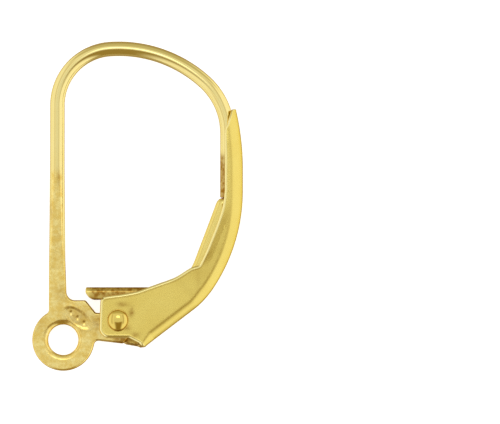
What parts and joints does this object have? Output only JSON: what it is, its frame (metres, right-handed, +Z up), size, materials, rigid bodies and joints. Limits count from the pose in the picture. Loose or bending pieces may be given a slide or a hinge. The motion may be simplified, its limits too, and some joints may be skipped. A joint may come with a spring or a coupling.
{
  "type": "leverback earring",
  "caption": "Plain leverback earring with an open ring: wire hoop, hinged folded-sheet lever, leaf spring and rivet.",
  "frame": {"origin": "centre of the bounding box's bottom face, on the surface the earring lies on", "axes": "+X from the leg towards the front wire, +Y from the ring towards the crown, +Z up from the surface, across the flat of the earring"},
  "size_m": [0.0108, 0.017, 0.0017],
  "materials": {
    "wire_gold": "polished",
    "sheet_gold": "satin",
    "spring_gold": "satin"
  },
  "bodies": {
    "wire": {"ear_wire": "wire_gold"},
    "lever": {"lever": "sheet_gold", "spring": "spring_gold", "rivet": "wire_gold"}
  },
  "joints": [
    {"name": "lever_hinge", "type": "hinge", "parent": "wire", "child": "lever", "pos_m": [-0.00097, -0.0059, 0.00083], "axis": [0.0387, -0.0279, -0.9989], "range_deg": [0, 75]}
  ]
}
